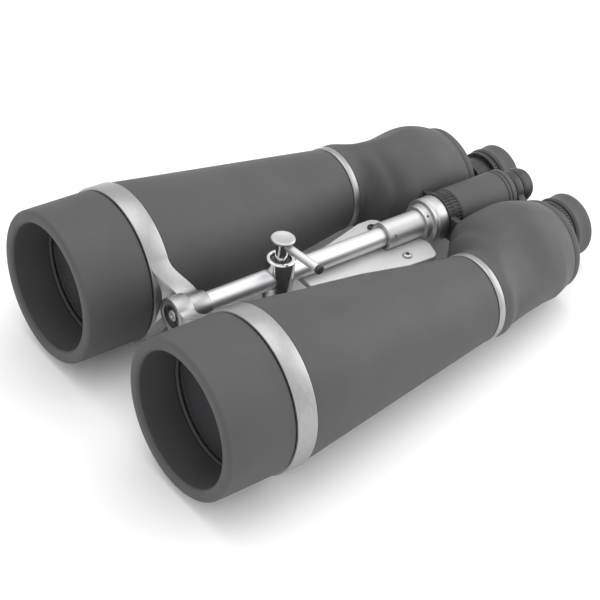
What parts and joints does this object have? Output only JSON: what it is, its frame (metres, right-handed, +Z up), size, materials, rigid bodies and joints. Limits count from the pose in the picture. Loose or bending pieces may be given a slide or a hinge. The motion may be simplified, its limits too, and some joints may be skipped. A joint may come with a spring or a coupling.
{
  "type": "binoculars",
  "caption": "Large centre-focus Porro-prism binoculars with rubber-armoured tapering barrels, a centre hinge rod and a sliding tripod post with a clamp lever.",
  "frame": {"origin": "under the middle of the object, midway between the two barrels and midway along their length, at the height of the lowest points, the undersides of the two front bands", "axes": "+X across, towards the left half (the half in front of the user's left eye); +Y along the barrels, from the objectives to the eyepieces; +Z up, towards the clamp screw"},
  "size_m": [0.2396, 0.3462, 0.0996],
  "materials": {
    "armour_rubber": "dark grey fine-textured rubber armour, satin",
    "brushed_silver": "pale satin plated metal",
    "polished_chrome": "mirror-bright chrome plate",
    "plain_aluminium": "machined, uncoated",
    "black_metal": "satin black paint on cast metal",
    "black_plastic": "moulded, matt black",
    "coated_glass": "polished, with a dark anti-reflection coating"
  },
  "bodies": {
    "left_half": {"objective_hood_left": "armour_rubber", "objective_cell_left": "black_metal", "objective_crown_left": "coated_glass", "objective_flint_left": "coated_glass", "front_bracket_left": "brushed_silver", "barrel_tube_left": "black_metal", "barrel_armour_left": "armour_rubber", "trim_ring_left": "brushed_silver", "prism_housing_left": "armour_rubber", "rear_cover_left": "black_plastic", "prism_shelf_left": "plain_aluminium", "front_prism_left": "coated_glass", "rear_prism_left": "coated_glass", "hinge_knuckle_left": "black_metal", "hinge_rod": "polished_chrome", "rod_end_screw": "brushed_silver", "rod_sleeve": "brushed_silver", "spine_plate": "brushed_silver", "plate_screw_left": "black_metal", "plate_screw_right": "black_metal"},
    "right_half": {"objective_hood_right": "armour_rubber", "objective_cell_right": "black_metal", "objective_crown_right": "coated_glass", "objective_flint_right": "coated_glass", "front_bracket_right": "brushed_silver", "barrel_tube_right": "black_metal", "barrel_armour_right": "armour_rubber", "trim_ring_right": "brushed_silver", "prism_housing_right": "armour_rubber", "rear_cover_right": "black_plastic", "prism_shelf_right": "plain_aluminium", "front_prism_right": "coated_glass", "rear_prism_right": "coated_glass", "hinge_knuckle_right": "black_metal"},
    "focus_wheel": {"focus_wheel": "armour_rubber"},
    "ocular_bridge": {"focus_shaft": "brushed_silver", "bridge_cap": "black_metal", "ocular_arm_left": "black_metal", "eyepiece_tube_left": "black_metal", "eyepiece_ring_left": "black_plastic", "field_lens_left": "coated_glass", "eye_lens_left": "coated_glass", "eyecup_left": "armour_rubber"},
    "right_ocular": {"ocular_arm_right": "black_metal"},
    "diopter": {"diopter_ring_right": "black_plastic"},
    "right_eyepiece": {"eyepiece_tube_right": "black_metal", "field_lens_right": "coated_glass", "eye_lens_right": "coated_glass", "eyecup_right": "armour_rubber"},
    "post_slider": {"clamp_shoe": "plain_aluminium"},
    "tripod_post": {"tripod_post": "polished_chrome"},
    "clamp": {"clamp_screw": "brushed_silver", "clamp_lever": "polished_chrome", "lever_tip": "black_plastic"}
  },
  "joints": [
    {"name": "ipd_hinge", "type": "hinge", "parent": "left_half", "child": "right_half", "pos_m": [0, 0, 0.0589], "axis": [0, -1, 0], "range_deg": [-14, 34]},
    {"name": "focus_slide", "type": "slide", "parent": "left_half", "child": "ocular_bridge", "axis": [0, 1, 0], "range_m": [-0.0025, 0.005]},
    {"name": "focus_turn", "type": "hinge", "parent": "left_half", "child": "focus_wheel", "pos_m": [0, 0, 0.0589], "axis": [0, 1, 0], "range_deg": [-91, 181]},
    {"name": "ocular_fold", "type": "hinge", "parent": "ocular_bridge", "child": "right_ocular", "pos_m": [0, 0, 0.0589], "axis": [0, -1, 0], "range_deg": [-14.2, 34.2]},
    {"name": "diopter_slide", "type": "slide", "parent": "right_ocular", "child": "right_eyepiece", "axis": [0, 1, 0], "range_m": [-0.001, 0.001]},
    {"name": "diopter_turn", "type": "hinge", "parent": "right_ocular", "child": "diopter", "pos_m": [-0.035, 0.1557, 0.0418], "axis": [0, 1, 0], "range_deg": [-30.5, 30.5]},
    {"name": "post_slide", "type": "slide", "parent": "left_half", "child": "post_slider", "axis": [0, 1, 0], "range_m": [-0.042, 0.006]},
    {"name": "post_swivel", "type": "hinge", "parent": "post_slider", "child": "tripod_post", "pos_m": [0, -0.05065, 0.0589], "axis": [0, -1, 0], "range_deg": [-2, 20]},
    {"name": "clamp_turn", "type": "hinge", "parent": "tripod_post", "child": "clamp", "pos_m": [0, -0.05065, 0.0589], "axis": [0, 0, 1], "range_deg": [-90, 90]}
  ],
  "couplings": [
    {"joint": "focus_turn", "follows": "focus_slide", "rad_per_m": 628.32},
    {"joint": "ocular_fold", "follows": "ipd_hinge", "ratio": 1},
    {"joint": "diopter_turn", "follows": "diopter_slide", "rad_per_m": 523.6}
  ]
}
